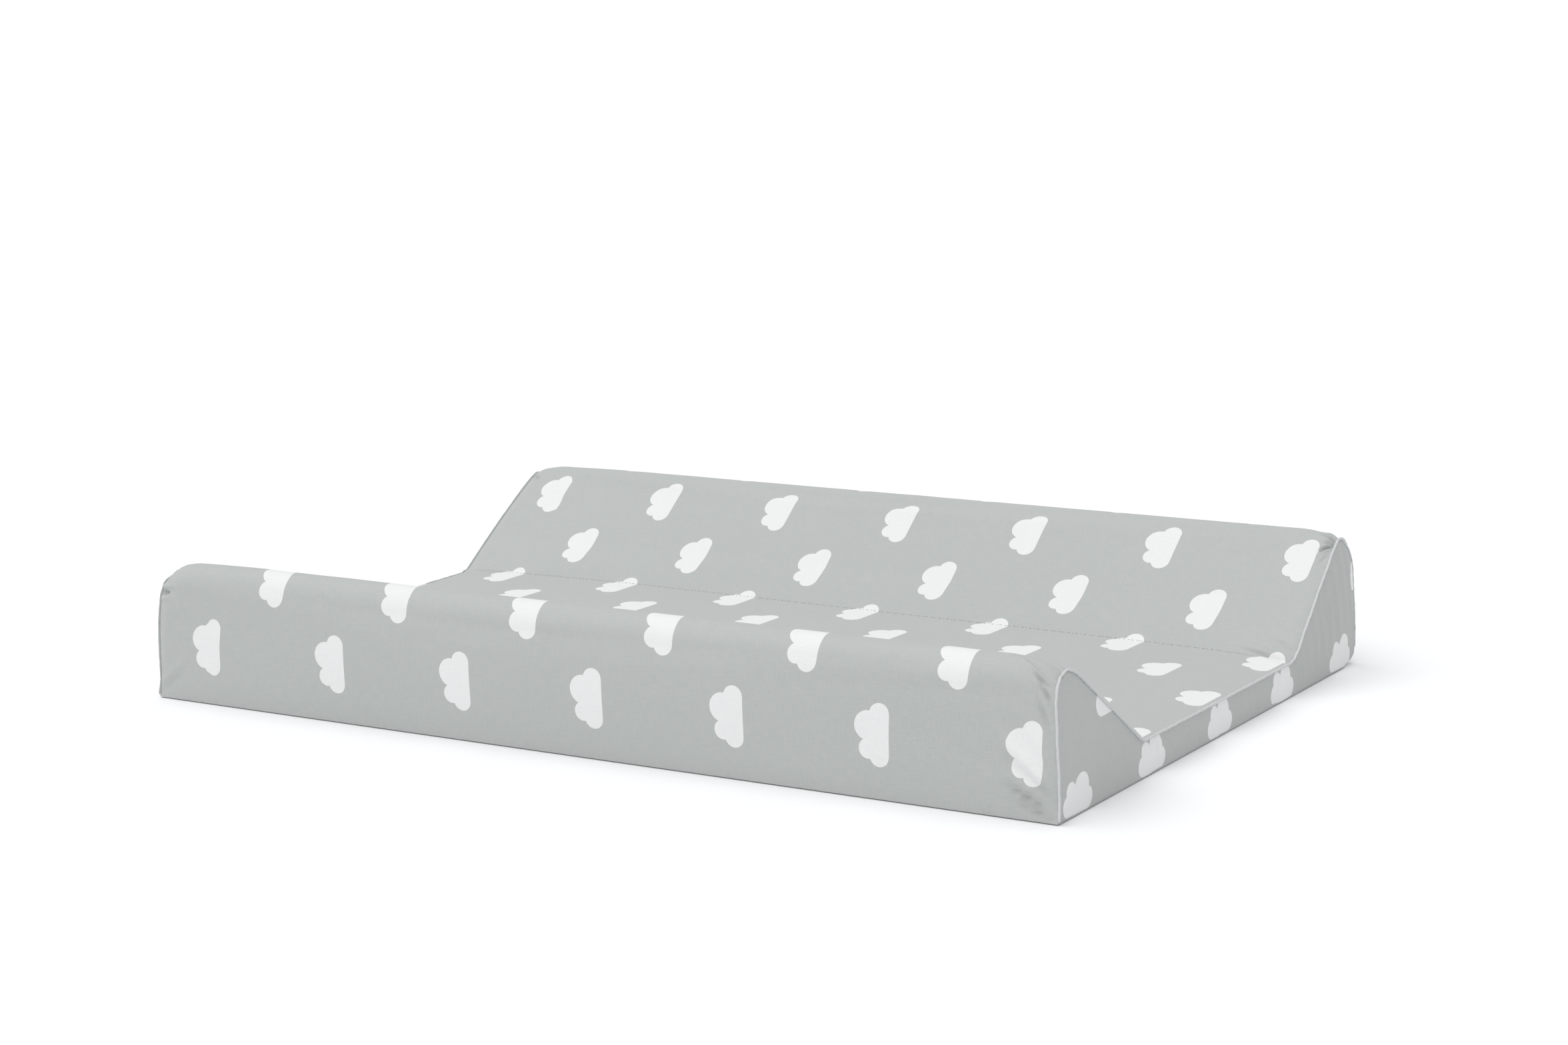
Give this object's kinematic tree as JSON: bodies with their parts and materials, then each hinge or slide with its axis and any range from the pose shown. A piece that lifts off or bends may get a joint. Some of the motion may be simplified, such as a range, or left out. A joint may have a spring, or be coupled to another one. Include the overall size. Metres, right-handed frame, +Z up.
{
  "type": "changing pad",
  "caption": "Soft baby changing pad: a flat lying surface between two raised wedge sides, in a printed cotton cover that closes with a zip at one end.",
  "frame": {"origin": "on the floor, under the middle of the pad", "axes": "+X along the two wedges, away from the zip; +Y across them, from the front wedge to the rear one; +Z up"},
  "size_m": [0.7575, 0.5024, 0.1032],
  "materials": {
    "printed_cotton": "woven, printed, matt",
    "base_cloth": "woven, plain, matt",
    "foam": "open-cell foam",
    "lining_cloth": "non-woven, matt",
    "thread": "twisted polyester",
    "zip_tape": "herringbone tape",
    "zip_coil": "nylon",
    "zip_metal": "satin enamel on zinc"
  },
  "bodies": {
    "pad": {"top_panel": "printed_cotton", "end_panel_right": "printed_cotton", "end_panel_left": "printed_cotton", "welt_right": "printed_cotton", "welt_left": "printed_cotton", "base_panel": "base_cloth", "base_seam": "base_cloth", "foam_wedge_front": "foam", "foam_wedge_rear": "foam", "foam_slab": "foam", "divider_web_front": "lining_cloth", "divider_web_rear": "lining_cloth", "crease_thread_front": "thread", "crease_thread_rear": "thread", "zip_tape_upper": "zip_tape", "zip_tape_lower": "zip_tape", "zip_coil_upper": "zip_coil", "zip_coil_lower": "zip_coil", "zip_top_stops": "zip_metal", "zip_bottom_stop": "zip_metal"},
    "zip_slider": {"zip_slider": "zip_metal"},
    "zip_pull_tab": {"zip_pull_tab": "zip_metal"}
  },
  "joints": [
    {"name": "zip_slide", "type": "slide", "parent": "pad", "child": "zip_slider", "axis": [0, 1, 0], "range_m": [0, 0.416]},
    {"name": "pull_tab_swing", "type": "hinge", "parent": "zip_slider", "child": "zip_pull_tab", "pos_m": [-0.37805, -0.2082, 0.013], "axis": [0, 0, 1], "range_deg": [0, 180]}
  ]
}
